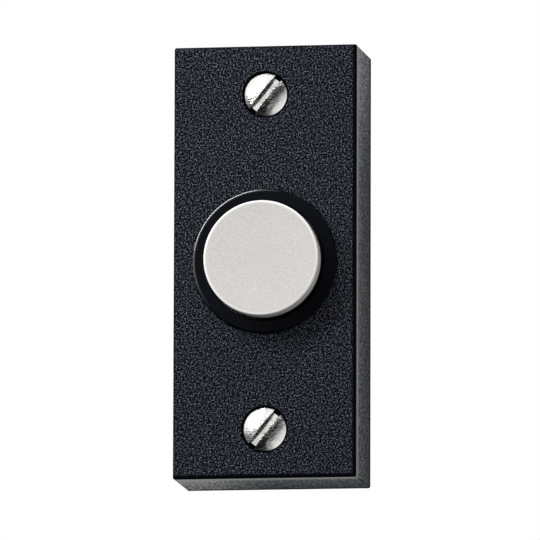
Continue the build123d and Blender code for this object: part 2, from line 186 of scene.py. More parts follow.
# %% World: white cloth, dark gap, white card
LOWER_RIGHT = math.radians(-42)
CLOTH = (
    (-12, 1.0), (-7, 0.55), (-3, 0.05), (4, 0.01), (20, 0.01), (29, 0.25),
    (38, 0.6), (48, 0.95), (68, 0.95), (76, 0.3), (88, 0.3), (100, 1.0),
)
SHADED_SIDE = (-0.6, -0.35, -0.72)
SHADE_START, SHADE_FULL, SHADE_LEVEL = 0.5, 0.8, 0.1

world = bpy.data.worlds.new("white_tent")
scene.world = world
world.use_nodes = True
tree = world.node_tree
tree.nodes.clear()
direction = node(tree, "ShaderNodeTexCoord").outputs["Generated"]
rightward = along(tree, direction, (math.cos(LOWER_RIGHT), 0, math.sin(LOWER_RIGHT)))
turn = calc(tree, "ARCTAN2", rightward, along(tree, direction, (0, -1, 0)))
ramp = node(tree, "ShaderNodeValToRGB", {"Fac": fit(tree, turn, -math.pi, math.pi)})
stops = ramp.color_ramp.elements
stops[0].color = stops[1].color
for degrees, level in CLOTH:
    stops.new((degrees + 180) / 360).color = (level, level, level, 1)
shade = fit(tree, along(tree, direction, SHADED_SIDE), SHADE_START, SHADE_FULL, 1, SHADE_LEVEL)
cloth = calc(tree, "MULTIPLY", ramp.outputs["Color"], shade)
shown = calc(tree, "MAXIMUM", cloth, node(tree, "ShaderNodeLightPath").outputs["Is Camera Ray"])
background = node(tree, "ShaderNodeBackground", {"Color": (1, 1, 1, 1), "Strength": shown})
node(tree, "ShaderNodeOutputWorld", {"Surface": background.outputs[0]})
print("world:", world.name, "stops:", len(stops))

# %% [markdown]
# ## Key lamp
# A narrow bright streak runs round the collar's rim from its left to its top. It gives away a light that
# rakes in from the upper left and makes the grain of the case sparkle. The case is lightest at its upper
# left, so the lamp stands close. A round lamp would leave one spot on the rim. This one is an oval area
# lamp whose width runs round the push axis, so that its glint spreads along the rim.

# %% One oval area lamp
LAMP_TURN, LAMP_LEAN = math.radians(134), math.radians(52)
LAMP_DISTANCE, LAMP_WIDTH, LAMP_HEIGHT, LAMP_POWER = 0.32, 0.29, 0.08, 0.96

outward = Vector((
    math.cos(LAMP_TURN) * math.sin(LAMP_LEAN),
    -math.cos(LAMP_LEAN),
    math.sin(LAMP_TURN) * math.sin(LAMP_LEAN),
))
round_axis = Vector((-math.sin(LAMP_TURN), 0, math.cos(LAMP_TURN)))
bpy.ops.object.select_all(action="DESELECT")
bpy.ops.object.light_add(type="AREA", location=outward * LAMP_DISTANCE)
key_lamp = bpy.context.object
key_lamp.name = "key_lamp"
key_lamp.data.shape = "ELLIPSE"
key_lamp.data.size, key_lamp.data.size_y = LAMP_WIDTH, LAMP_HEIGHT
key_lamp.data.energy = LAMP_POWER
facing = Matrix((round_axis, outward.cross(round_axis), outward)).transposed()
key_lamp.rotation_mode = "QUATERNION"
key_lamp.rotation_quaternion = facing.to_quaternion()
print("lamp:", key_lamp.name, "power in watts:", key_lamp.data.energy)

# %% [markdown]
# ## Floor
# The push stands on a pale floor. The camera of the photograph is lower than the floor, so the floor is
# made one-sided: where its back faces the camera, the Backfacing output of a Geometry node turns it
# clear. It is left out of the light on the object, because the push has to show its lit underside, and it
# still takes the shadow.

# %% Pale one-sided floor
FLOOR_SIZE = 2.4
FLOOR_COLOUR = (0.86, 0.86, 0.86, 1)
bpy.ops.object.select_all(action="DESELECT")
bpy.ops.mesh.primitive_plane_add(size=FLOOR_SIZE, location=(0, 0, cad_box[0].z))
floor = bpy.context.object
floor.name = "floor"
floor.visible_diffuse = floor.visible_glossy = floor.visible_shadow = floor.visible_transmission = False
floor_finish = bpy.data.materials.new("pale_floor")
floor_finish.use_nodes = True
tree = floor_finish.node_tree
tree.nodes.clear()
back_side = node(tree, "ShaderNodeNewGeometry").outputs["Backfacing"]
matt = node(tree, "ShaderNodeBsdfDiffuse", {"Color": FLOOR_COLOUR})
clear = node(tree, "ShaderNodeBsdfTransparent")
one_sided = node(tree, "ShaderNodeMixShader", {0: back_side, 1: matt.outputs[0], 2: clear.outputs[0]})
node(tree, "ShaderNodeOutputMaterial", {"Surface": one_sided.outputs[0]})
floor.data.materials.append(floor_finish)
print("floor at z in mm:", round(cad_box[0].z / MM, 2))

# %% [markdown]
# ## Shared effects
# Several finishes use the same effects. Each could be wired again in every material, but a node group
# with named sockets is built once and placed with other values each time.

# %% Start a node group
FLOAT, VECTOR = "NodeSocketFloat", "NodeSocketVector"


def start_group(name, inputs, outputs):
    """New shader group with value or vector inputs, value outputs, and its two end nodes."""
    group = bpy.data.node_groups.new(name, "ShaderNodeTree")
    for socket, kind, value in inputs:
        made = group.interface.new_socket(socket, in_out="INPUT", socket_type=kind)
        if value is not None:
            made.default_value = value
    for socket in outputs:
        group.interface.new_socket(socket, in_out="OUTPUT", socket_type=FLOAT)
    start = group.nodes.new("NodeGroupInput")
    end = group.nodes.new("NodeGroupOutput")
    return group, start.outputs, end.inputs


def scaled(tree, vector, factor):
    """Add a Vector Math node that multiplies a vector by one number, and return its result."""
    return node(tree, "ShaderNodeVectorMath", {0: vector, 3: factor}, operation="SCALE").outputs[0]


print("group helpers ready")

# %% [markdown]
# ### Moulded grain
# The grain is what spark erosion leaves on a mould: small pits that meet in soft ridges. One noise texture
# would show its lattice, so two of different size are added. The sum is the height of the surface, and a
# power of it, which keeps only the tops of the ridges bright, is the sparkle: painted glints, which the case
# takes as colour.

# %% Group: moulded grain
NOISE_SCALES = (0.9, 1.35)
NOISE_LOW, NOISE_HIGH = 0.2, 0.8
PIT_LEVEL, RIDGE_LEVEL, SPARKLE_POWER = 0.86, 1.72, 1.6
moulded_grain, given, made = start_group(
    "moulded_grain", [("Vector", VECTOR, None), ("Grain per metre", FLOAT, 2000.0)], ["Height", "Sparkle"]
)
place = scaled(moulded_grain, given["Vector"], given["Grain per metre"])
layers = []
for scale in NOISE_SCALES:
    noise = node(moulded_grain, "ShaderNodeTexNoise", {"Vector": place, "Scale": scale, "Detail": 0.0})
    layers.append(fit(moulded_grain, noise.outputs["Fac"], NOISE_LOW, NOISE_HIGH))
height = fit(moulded_grain, calc(moulded_grain, "ADD", *layers), PIT_LEVEL, RIDGE_LEVEL)
moulded_grain.links.new(height, made["Height"])
moulded_grain.links.new(calc(moulded_grain, "POWER", height, SPARKLE_POWER), made["Sparkle"])
print("group:", moulded_grain.name)

# %% [markdown]
# ### Handling
# Fingers and cloths change the gloss of a surface in large soft patches. A noise texture with several
# octaves, smoothed at both ends, gives such patches.

# %% Group: handling
CLOUD_LOW, CLOUD_HIGH = 0.32, 0.68
handling, given, made = start_group(
    "handling", [("Vector", VECTOR, None), ("Patches per metre", FLOAT, 90.0)], ["Polish"]
)
place = scaled(handling, given["Vector"], given["Patches per metre"])
cloud = node(handling, "ShaderNodeTexNoise", {"Vector": place, "Scale": 1.0, "Detail": 4.0})
handling.links.new(fit(handling, cloud.outputs["Fac"], CLOUD_LOW, CLOUD_HIGH, smooth=True), made["Polish"])
print("group:", handling.name)

# %% [markdown]
# ### Fine lines
# Rolling, drawing and polishing leave fine parallel marks. A wave texture would repeat them evenly. Noise
# that is stretched by another factor along each axis gives lines of uneven length and width.

# %% Group: fine lines
LINES_LOW, LINES_HIGH = 0.35, 0.65
fine_lines, given, made = start_group(
    "fine_lines", [("Vector", VECTOR, None), ("Stretch", VECTOR, (6000.0, 6000.0, 300.0))], ["Lines"]
)
stretched = {0: given["Vector"], 1: given["Stretch"]}
place = node(fine_lines, "ShaderNodeVectorMath", stretched, operation="MULTIPLY").outputs[0]
streaks = node(fine_lines, "ShaderNodeTexNoise", {"Vector": place, "Scale": 1.0, "Detail": 3.0})
fine_lines.links.new(fit(fine_lines, streaks.outputs["Fac"], LINES_LOW, LINES_HIGH), made["Lines"])
print("group:", fine_lines.name)

# %% [markdown]
# ## Finishes
# A finish starts as a Principled shader with its plain values set on its own sockets. What varies over
# the surface is linked in: a colour, a roughness, and a height for a Bump node. All patterns read Object
# coordinates, which in this frame are metres, so the size of a grain or a scratch can be written as it is
# on the real push.

# %% Helpers that make a finish
finishes = {}


def start_finish(slot, **plain):
    """New material with a Principled shader; plain values go straight on its sockets."""
    finish = bpy.data.materials.new(slot)
    finish.use_nodes = True
    tree = finish.node_tree
    tree.nodes.clear()
    values = {key.replace("_", " "): value for key, value in plain.items()}
    shader = node(tree, "ShaderNodeBsdfPrincipled", values)
    node(tree, "ShaderNodeOutputMaterial", {"Surface": shader.outputs[0]})
    coords = node(tree, "ShaderNodeTexCoord").outputs["Object"]
    finishes[slot] = finish
    return tree, shader, coords


def use_group(tree, group, inputs):
    """Place a shared effect in a material."""
    return node(tree, "ShaderNodeGroup", inputs, node_tree=group).outputs


def wire(tree, shader, colour, roughness, height, depth):
    """Link what varies over the surface to the shader; depth is the height of the bumps in metres."""
    tree.links.new(colour, shader.inputs["Base Color"])
    tree.links.new(roughness, shader.inputs["Roughness"])
    bump = node(tree, "ShaderNodeBump", {"Height": height, "Distance": depth, "Strength": 1.0})
    tree.links.new(bump.outputs["Normal"], shader.inputs["Normal"])


print("finish helpers ready")

# %% [markdown]
# ### Case
# The case is black plastic moulded against a spark-eroded steel tool. Its front is grained. Its outer edges
# are smooth, and painted shade darkens them, more widely on the right and at the bottom; a band at the back
# of the sides gets the same near-black colour. Its sides carry the marks of being drawn out of the mould,
# and two corners are rubbed by hands. One material could be made for each of these, but they run into each
# other on one solid, so masks worked out from the Object coordinates separate them.

# %% Masks of the case
EDGE_BAND, EDGE_CORE = 0.65 * MM, 0.28 * MM
# EDGE_SHIFT widens the dark band of painted shade on the right and at the bottom
EDGE_SHIFT, DRAFT_RUN = 0.2 * MM, 0.13 * MM
SIDE_START, SIDE_FULL = 0.1 * MM, 0.5 * MM
SHINE_END, BACK_BAND, BACK_CORE = 3.2 * MM, 1.6 * MM, 0.48 * MM
CORNER_SHIFT, CORNER_START, CORNER_FULL = 0.15, 1.1, 1.95

tree, shader, coords = start_finish("case_plastic", Specular_IOR_Level=0.015, Coat_Roughness=0.2)
case_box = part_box("front_cover")
axes = node(tree, "ShaderNodeSeparateXYZ", {"Vector": coords}).outputs
rightward = calc(tree, "ABSOLUTE", calc(tree, "ADD", axes["X"], EDGE_SHIFT))
downward = calc(tree, "ABSOLUTE", calc(tree, "SUBTRACT", axes["Z"], EDGE_SHIFT))
from_side = calc(tree, "SUBTRACT", case_box[1].x - DRAFT_RUN, rightward)
from_end = calc(tree, "SUBTRACT", case_box[1].z - DRAFT_RUN, downward)
border = fit(tree, calc(tree, "MINIMUM", from_side, from_end), EDGE_BAND, EDGE_CORE, smooth=True)
behind = calc(tree, "SUBTRACT", axes["Y"], case_box[0].y)
side = fit(tree, behind, SIDE_START, SIDE_FULL)
edge = calc(tree, "MULTIPLY", border, fit(tree, behind, SHINE_END, EDGE_CORE))
back = fit(tree, axes["Y"], -BACK_BAND, -BACK_CORE)
slant = along(tree, coords, (1 / case_box[1].x, 0, 1 / case_box[1].z))
corner = calc(tree, "ABSOLUTE", calc(tree, "SUBTRACT", slant, CORNER_SHIFT))
held = fit(tree, corner, CORNER_START, CORNER_FULL, smooth=True)
print("masks of the case: border, side, edge, back, held")

# %% [markdown]
# The pits of the grain are almost black, and the ridges are painted grey as a highlight that stands in for
# the glints of the grain; they lie a few tenths of a millimetre apart. The sides are streaked from front to
# back, and the walls inside the screw recesses stay plain.

# %% Colours of the case
CASE_GRAIN, DRAW_STRETCH = 4000.0, (2600.0, 800.0, 2600.0)
PIT_COLOUR, RIDGE_GLINT_COLOUR = (0.001, 0.0025, 0.0055), (0.185, 0.202, 0.233)
DRAWN_DARK, DRAWN_LIGHT = (0.0108, 0.0128, 0.0158), (0.0205, 0.0243, 0.0298)
INNER_DARK, INNER_LIGHT = (0.0015, 0.0018, 0.0024), (0.005, 0.0055, 0.0065)
# painted shade: near-black colour of the edge band, also used on the back band
EDGE_SHADE_COLOUR = (0.002, 0.0025, 0.004)

grain = use_group(tree, moulded_grain, {"Vector": coords, "Grain per metre": CASE_GRAIN})
drag = use_group(tree, fine_lines, {"Vector": coords, "Stretch": DRAW_STRETCH})["Lines"]
# painted highlight: the grey ridge colour stands in for glints on the real grain
grain_with_painted_glints = tint(tree, grain["Sparkle"], PIT_COLOUR, RIDGE_GLINT_COLOUR)
drawn = tint(tree, drag, DRAWN_DARK, DRAWN_LIGHT)
inner = tint(tree, grain["Height"], INNER_DARK, INNER_LIGHT)
skin = tint(tree, side, grain_with_painted_glints, tint(tree, border, inner, drawn))
# painted shade along the front edges, mixed over the skin with the dark back band
colour = tint(tree, calc(tree, "MAXIMUM", edge, back), skin, EDGE_SHADE_COLOUR)
print("colours of the case mixed")

# %% [markdown]
# Seen along its surface, a black side shows little but reflections, so its roughness sets how light it
# looks. It grows towards the back and falls at the two rubbed corners. A thin coat gives the smooth edges
# their shine.

# %% Gloss and relief of the case
FRONT_ROUGH, EDGE_ROUGH, BACK_ROUGH = 0.64, 0.3, 0.95
STREAK_ROUGH, STREAK_SMOOTH = 0.62, 0.35
FADE_END, FADE_FRONT, FADE_BACK = 14 * MM, -0.1, 0.12
HELD_POLISH, SIDE_RELIEF, EDGE_COAT = 0.24, 0.3, 0.28
CASE_BUMP = 0.08 * MM

streaked = fit(tree, drag, 0, 1, STREAK_ROUGH, STREAK_SMOOTH)
fading = fit(tree, behind, EDGE_CORE, FADE_END, FADE_FRONT, FADE_BACK)
rubbing = calc(tree, "MULTIPLY", held, HELD_POLISH)
side_gloss = calc(tree, "SUBTRACT", calc(tree, "ADD", streaked, fading), rubbing)
gloss = fit(tree, side, 0, 1, FRONT_ROUGH, side_gloss)
gloss = fit(tree, back, 0, 1, gloss, BACK_ROUGH)
gloss = fit(tree, edge, 0, 1, gloss, EDGE_ROUGH)
relief = calc(tree, "MULTIPLY", grain["Height"], fit(tree, side, 0, 1, 1, SIDE_RELIEF))
relief = calc(tree, "MULTIPLY", relief, calc(tree, "SUBTRACT", 1.0, edge))
wire(tree, shader, colour, gloss, relief, CASE_BUMP)
shine = calc(tree, "MULTIPLY", edge, side)
tree.links.new(calc(tree, "MULTIPLY", shine, EDGE_COAT), shader.inputs["Coat Weight"])
print("finish: case_plastic")

# %% [markdown]
# ### Collar
# The collar comes out of a polished mould, so it mirrors its surroundings. Hairlines from cleaning cloths
# and a faint change of gloss keep it from looking like glass. Its rim is wiped brightest at the upper
# left. A coat with a high refractive index, masked by the distance from the push axis and by that
# direction, makes it flash.


# %% Finish of the collar
def from_axis(tree, coords):
    """Add nodes that measure the distance from the push axis, and return the result."""
    flat = node(tree, "ShaderNodeVectorMath", {0: coords, 1: (1, 0, 1)}, operation="MULTIPLY").outputs[0]
    return node(tree, "ShaderNodeVectorMath", {0: flat}, operation="LENGTH").outputs["Value"]


COLLAR_RADIUS, RUBBED_WIDTH = 11.5 * MM, 0.25 * MM
WIPED_TOWARDS, WIPED_START, WIPED_FULL = (-0.85, 0, 0.53), 0.3 * COLLAR_RADIUS, 0.65 * COLLAR_RADIUS
COLLAR_PATCHES, HAIR_STRETCH = 160.0, (900.0, 900.0, 5200.0)
COLLAR_DARK, COLLAR_LIGHT = (0.001, 0.0014, 0.0032), (0.0015, 0.002, 0.0042)
COLLAR_ROUGH, COLLAR_SMOOTH, HAIR_ROUGH, HAIR_BUMP = 0.13, 0.09, 0.03, 0.0005 * MM

tree, shader, coords = start_finish(
    "collar_plastic", Specular_IOR_Level=0.07, Coat_Roughness=0.1, Coat_IOR=2.1
)
polish = use_group(tree, handling, {"Vector": coords, "Patches per metre": COLLAR_PATCHES})["Polish"]
hairs = use_group(tree, fine_lines, {"Vector": coords, "Stretch": HAIR_STRETCH})["Lines"]
rubbed = fit(tree, from_axis(tree, coords), COLLAR_RADIUS - RUBBED_WIDTH, COLLAR_RADIUS)
wiped = fit(tree, along(tree, coords, WIPED_TOWARDS), WIPED_START, WIPED_FULL)
tree.links.new(calc(tree, "MULTIPLY", rubbed, wiped), shader.inputs["Coat Weight"])
colour = tint(tree, polish, COLLAR_DARK, COLLAR_LIGHT)
smooth = fit(tree, polish, 0, 1, COLLAR_ROUGH, COLLAR_SMOOTH)
gloss = calc(tree, "ADD", smooth, calc(tree, "MULTIPLY", hairs, HAIR_ROUGH))
wire(tree, shader, colour, gloss, hairs, HAIR_BUMP)
print("finish: collar_plastic")

# %% [markdown]
# ### Cap
# The cap is pale warm grey with a satin face and a polished rim, which is painted paler as a highlight. A
# faint dark line of painted shade runs round its wall below the rim, and the part that slides in the collar
# is painted near black as the shade of the gap. All three are rings, so the distance from the push axis and
# the depth along it are enough to mask them.

# %% Masks of the cap
RIM_START, RIM_FULL = 8.8 * MM, 9.05 * MM
LINE_TOP, LINE_TOP_FULL = -19.1 * MM, -18.9 * MM
LINE_END, LINE_END_FULL = -18.0 * MM, -18.4 * MM
GAP_SHADE_START, GAP_SHADE_FULL = -17.3 * MM, -16.0 * MM

tree, shader, coords = start_finish("cap_plastic", Specular_IOR_Level=0.45)
rim_polish_and_highlight = fit(tree, from_axis(tree, coords), RIM_START, RIM_FULL, smooth=True)
depth = along(tree, coords, (0, 1, 0))
line_above = fit(tree, depth, LINE_TOP, LINE_TOP_FULL)
line_below = fit(tree, depth, LINE_END, LINE_END_FULL)
painted_line_shade = calc(tree, "MULTIPLY", line_above, line_below)
painted_gap_shade = fit(tree, depth, GAP_SHADE_START, GAP_SHADE_FULL, smooth=True)
print("masks of the cap: rim, painted_line_shade, greased")

# %% [markdown]
# The face is never one colour: handling changes it in patches, and the fine grain of the mould lightens its
# ridges. The painted rings, the highlight on the rim and the shade below it, are then mixed over it, one
# after the other.

# %% Finish of the cap
CAP_GRAIN, CAP_PATCHES, CAP_BUMP = 3600.0, 140.0, 0.012 * MM
FACE_DARK, FACE_LIGHT, FACE_RIDGE = (0.6, 0.577, 0.557), (0.625, 0.602, 0.58), (0.7, 0.675, 0.652)
# painted highlight on the rim, painted shade in the line below it and near the collar
RIM_HIGHLIGHT_COLOUR, LINE_SHADE_COLOUR, GAP_SHADE_COLOUR = (0.88, 0.865, 0.85), (0.2, 0.19, 0.18), (0.02, 0.02, 0.02)
LINE_SHADE_STRENGTH = 0.5
FACE_ROUGH, FACE_SMOOTH, RIM_SMOOTH = 0.42, 0.36, 0.16

grain = use_group(tree, moulded_grain, {"Vector": coords, "Grain per metre": CAP_GRAIN})
polish = use_group(tree, handling, {"Vector": coords, "Patches per metre": CAP_PATCHES})["Polish"]
face = tint(tree, polish, FACE_DARK, FACE_LIGHT)
face = tint(tree, grain["Height"], face, FACE_RIDGE)
# painted highlight: the rim and the wall are made paler
face_with_painted_rings = tint(tree, rim_polish_and_highlight, face, RIM_HIGHLIGHT_COLOUR)
# painted shade: a dark line round the wall below the rim
face_with_painted_rings = tint(tree, calc(tree, "MULTIPLY", painted_line_shade, LINE_SHADE_STRENGTH), face_with_painted_rings, LINE_SHADE_COLOUR)
# painted shade: the wall nearest the collar is made near black
colour = tint(tree, painted_gap_shade, face_with_painted_rings, GAP_SHADE_COLOUR)
gloss = fit(tree, rim_polish_and_highlight, 0, 1, fit(tree, polish, 0, 1, FACE_ROUGH, FACE_SMOOTH), RIM_SMOOTH)
wire(tree, shader, colour, gloss, grain["Height"], CAP_BUMP)
print("finish: cap_plastic")

# %% [markdown]
# ### Wall screws
# Bright nickel plate on turned steel. The sawn slot is rougher, its walls are coloured near black, and the
# thread behind the wall plane is dull. The place of the slot is known, so the distance across it, read from
# the Object coordinates, masks it on both screws at once.

# %% Masks of the wall screws
SCREW_Z, SCREW_LENGTH, DOME = 27.1, 25.0, 1.0
SLOT_WIDTH, SLOT_DEPTH, SLOT_ANGLE = 1.1, 1.5, math.radians(51.5)
SLOT_OUTSIDE, SLOT_INSIDE, FLOOR_FADE = 0.53 * SLOT_WIDTH, 0.49 * SLOT_WIDTH, 0.1
DULL_START, DULL_FULL = -2 * MM, 0.5 * MM
SCREW_RIM_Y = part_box("upper_fixing_screw")[1].y / MM - SCREW_LENGTH
SLOT_FLOOR_Y = SCREW_RIM_Y - DOME + SLOT_DEPTH

tree, shader, coords = start_finish("screw_plating", Metallic=1.0)
axes = node(tree, "ShaderNodeSeparateXYZ", {"Vector": coords}).outputs
head_z = calc(tree, "MULTIPLY", calc(tree, "SIGN", axes["Z"]), SCREW_Z * MM)
rise = calc(tree, "MULTIPLY", calc(tree, "SUBTRACT", axes["Z"], head_z), math.cos(SLOT_ANGLE))
reach = calc(tree, "MULTIPLY", axes["X"], math.sin(SLOT_ANGLE))
across = calc(tree, "ABSOLUTE", calc(tree, "SUBTRACT", rise, reach))
sawn = fit(tree, across, SLOT_OUTSIDE * MM, SLOT_INSIDE * MM)
above_floor = fit(tree, axes["Y"], SLOT_FLOOR_Y * MM, (SLOT_FLOOR_Y - FLOOR_FADE) * MM)
dark_slot_walls = calc(tree, "MULTIPLY", sawn, above_floor)
dull = fit(tree, axes["Y"], DULL_START, DULL_FULL)
print("masks of the screws: sawn, grimy, dull")

# %% [markdown]
# The plating is never quite flat. Where the driver has slipped, beside the slot, it is waviest, and the
# edge between the white and the dark reflection breaks up into spots there. A noise texture gives the
# waves, and a mask lets them fade away from the slot.

# %% Finish of the wall screws
WAVES_PER_METRE, SCRATCH_STRETCH, STAINS_PER_METRE = 800.0, (1500.0, 1500.0, 5500.0), 1100.0
PLATE_BRIGHT, PLATE_STAINED, STAIN_STRENGTH = (0.92, 0.915, 0.9), (0.56, 0.56, 0.53), 0.3
THREAD_BRIGHT, THREAD_STAINED, SLOT_WALL_DARK = (0.5, 0.49, 0.47), (0.3, 0.3, 0.29), (0.03, 0.03, 0.028)
PLATE_SMOOTH, PLATE_ROUGH, SCRATCH_ROUGH, DULL_ROUGH, SAWN_ROUGH = 0.04, 0.12, 0.03, 0.22, 0.1
SLIP_START, SLIP_END, CALM, SCRATCH_DEPTH = 0.7 * MM, 3.0 * MM, 0.15, 0.15
PLATE_BUMP = 0.13 * MM

waves = node(
    tree, "ShaderNodeTexNoise",
    {"Vector": coords, "Scale": WAVES_PER_METRE, "Detail": 1.0, "Roughness": 0.5},
)
scratches = use_group(tree, fine_lines, {"Vector": coords, "Stretch": SCRATCH_STRETCH})["Lines"]
stain = use_group(tree, handling, {"Vector": coords, "Patches per metre": STAINS_PER_METRE})["Polish"]
plate = tint(tree, calc(tree, "MULTIPLY", stain, STAIN_STRENGTH), PLATE_BRIGHT, PLATE_STAINED)
plate = tint(tree, dull, plate, tint(tree, stain, THREAD_BRIGHT, THREAD_STAINED))
# the walls of the slot are coloured near black
colour = tint(tree, dark_slot_walls, plate, SLOT_WALL_DARK)
gloss = fit(tree, stain, 0, 1, PLATE_SMOOTH, PLATE_ROUGH)
for mask, roughness in ((scratches, SCRATCH_ROUGH), (dull, DULL_ROUGH), (sawn, SAWN_ROUGH)):
    gloss = calc(tree, "ADD", gloss, calc(tree, "MULTIPLY", mask, roughness))
marks = calc(tree, "ADD", waves.outputs["Fac"], calc(tree, "MULTIPLY", scratches, SCRATCH_DEPTH))
marks = calc(tree, "MULTIPLY", marks, fit(tree, across, SLIP_START, SLIP_END, 1, CALM))
marks = calc(tree, "MULTIPLY", marks, fit(tree, sawn, 0, 1, 1, CALM))
wire(tree, shader, colour, gloss, marks, PLATE_BUMP)
print("finish: screw_plating")

# %% [markdown]
# ### Base
# The base closes the back and is seen only when the push is off the wall. It is a plain black moulding
# with a finer grain than the case, so the same group is placed with a higher number and a lower bump.

# %% Finish of the base
BASE_GRAIN, BASE_PATCHES, BASE_BUMP = 4200.0, 80.0, 0.02 * MM
BASE_DARK, BASE_LIGHT = (0.012, 0.012, 0.0135), (0.02, 0.02, 0.022)
BASE_ROUGH, BASE_SMOOTH = 0.55, 0.45
tree, shader, coords = start_finish("base_plastic", Specular_IOR_Level=0.4)
grain = use_group(tree, moulded_grain, {"Vector": coords, "Grain per metre": BASE_GRAIN})
polish = use_group(tree, handling, {"Vector": coords, "Patches per metre": BASE_PATCHES})["Polish"]
colour = tint(tree, polish, BASE_DARK, BASE_LIGHT)
wire(tree, shader, colour, fit(tree, polish, 0, 1, BASE_ROUGH, BASE_SMOOTH), grain["Height"], BASE_BUMP)
print("finish: base_plastic")

# %% [markdown]
# ### Metal inside
# Stamped brass, rolled bronze, drawn spring wire, silver tips and zinc-plated screws differ in colour, in
# the direction of their marks and in gloss, but not in kind. One function makes them all from a bright
# and a dull tone, the stretch of the lines, the number of stains to a metre, and the roughness of both
# tones.

# %% Finishes of the metal inside
STAIN_SHARE, LINE_SHARE, METAL_BUMP = 0.7, 0.3, 0.004 * MM
ALONG_Z = (6000.0, 6000.0, 250.0)
ROUND_TOOL = (2500.0, 300.0, 2500.0)


def metal_finish(slot, bright, dull, stretch, patches, bright_rough, dull_rough):
    """Worked metal: a bright and a dull tone in patches, with fine lines in the direction of working."""
    tree, shader, coords = start_finish(slot, Metallic=1.0)
    lines = use_group(tree, fine_lines, {"Vector": coords, "Stretch": stretch})["Lines"]
    stain = use_group(tree, handling, {"Vector": coords, "Patches per metre": patches})["Polish"]
    stained = calc(tree, "MULTIPLY", stain, STAIN_SHARE)
    worn = calc(tree, "ADD", stained, calc(tree, "MULTIPLY", lines, LINE_SHARE))
    roughness = fit(tree, worn, 0, 1, bright_rough, dull_rough)
    wire(tree, shader, tint(tree, worn, bright, dull), roughness, lines, METAL_BUMP)


metal_finish("strip_brass", (0.8, 0.6, 0.29), (0.6, 0.4, 0.17), ALONG_Z, 260.0, 0.2, 0.4)
metal_finish("leaf_bronze", (0.7, 0.44, 0.25), (0.5, 0.29, 0.15), ALONG_Z, 220.0, 0.18, 0.36)
metal_finish("spring_steel", (0.56, 0.56, 0.57), (0.36, 0.36, 0.37), ROUND_TOOL, 500.0, 0.2, 0.38)
metal_finish("tip_silver", (0.9, 0.89, 0.86), (0.7, 0.68, 0.62), ROUND_TOOL, 900.0, 0.12, 0.3)
metal_finish("zinc_steel", (0.68, 0.69, 0.7), (0.5, 0.51, 0.5), ROUND_TOOL, 600.0, 0.24, 0.42)
print("finishes:", sorted(finishes))

# %% [markdown]
# ## Dressing the CAD nodes
# A CAD node whose shape is right stays, and only its material is exchanged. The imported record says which
# slot each node belongs to, so one loop dresses them all.

# %% Give each node its finish
for subpart in frame["record"]["subparts"]:
    solid = frame["nodes"][subpart["node"]]
    solid.material_slots[0].material = finishes[subpart["material_slot"]]

# %% [markdown]
# ## Turned work
# Screws and contact tips are turned parts: every section square to their axis is a circle. A profile
# could be spun round the axis in one go. Extruding one ring of edges and scaling it, step by step, gives
# the same surface, with full control over where each ring lies.

# %% Helpers for turned pieces and modifiers
RING_SIDES = 64


def pick(piece):
    """Make a piece the only selected object and the active one."""
    bpy.ops.object.select_all(action="DESELECT")
    piece.select_set(True)
    bpy.context.view_layer.objects.active = piece


def settle():
    """Put the place, turn and size of the selected object into its mesh."""
    bpy.ops.object.transform_apply(location=True, rotation=True, scale=True)


def turn_profile(name, profile):
    """Closed turned piece about the Y axis from (radius, y) pairs in millimetres, first to last."""
    bpy.ops.object.select_all(action="DESELECT")
    radius, y = profile[0]
    bpy.ops.mesh.primitive_circle_add(
        vertices=RING_SIDES, radius=radius * MM, location=(0, y * MM, 0), rotation=(math.pi / 2, 0, 0)
    )
    piece = bpy.context.object
    piece.name = piece.data.name = name
    settle()
    bpy.ops.object.mode_set(mode="EDIT")
    bpy.ops.mesh.select_all(action="SELECT")
    for next_radius, next_y in profile[1:]:
        step = (0, (next_y - y) * MM, 0)
        bpy.ops.mesh.extrude_edges_move(TRANSFORM_OT_translate={"value": step})
        share = next_radius / radius
        bpy.ops.transform.resize(value=(share, 1, share), center_override=(0, next_y * MM, 0))
        radius, y = next_radius, next_y
    bpy.ops.mesh.select_all(action="SELECT")
    bpy.ops.mesh.fill_holes(sides=0)
    bpy.ops.mesh.normals_make_consistent(inside=False)
    bpy.ops.object.mode_set(mode="OBJECT")
    return piece


def apply_modifier(piece, kind, **options):
    """Add a modifier to a piece, set it and apply it."""
    pick(piece)
    bpy.ops.object.modifier_add(type=kind)
    modifier = piece.modifiers[-1]
    for option, value in options.items():
        setattr(modifier, option, value)
    bpy.ops.object.modifier_apply(modifier=modifier.name)


print("turning helpers ready")

# %% [markdown]
# ## Wall screws
# CAD keeps the thread of a wood screw as a plain cylinder. The real one has a thin core and a sharp
# helical ridge that runs out to the point, and a driver slot with broken edges. The head, shank and core
# are turned first.

# %% Turn the screw
HEAD_RADIUS, SHANK_RADIUS, CORE_RADIUS, CREST_RADIUS = 3.5, 1.35, 1.15, 1.74
POINT_LENGTH, POINT_RADIUS = 4.0, 0.12
SHANK_END_Y, CORE_START_Y = -0.1, 0.3
POINT_Y = SCREW_RIM_Y + SCREW_LENGTH
POINT_START_Y = POINT_Y - POINT_LENGTH
DOME_RINGS = 10

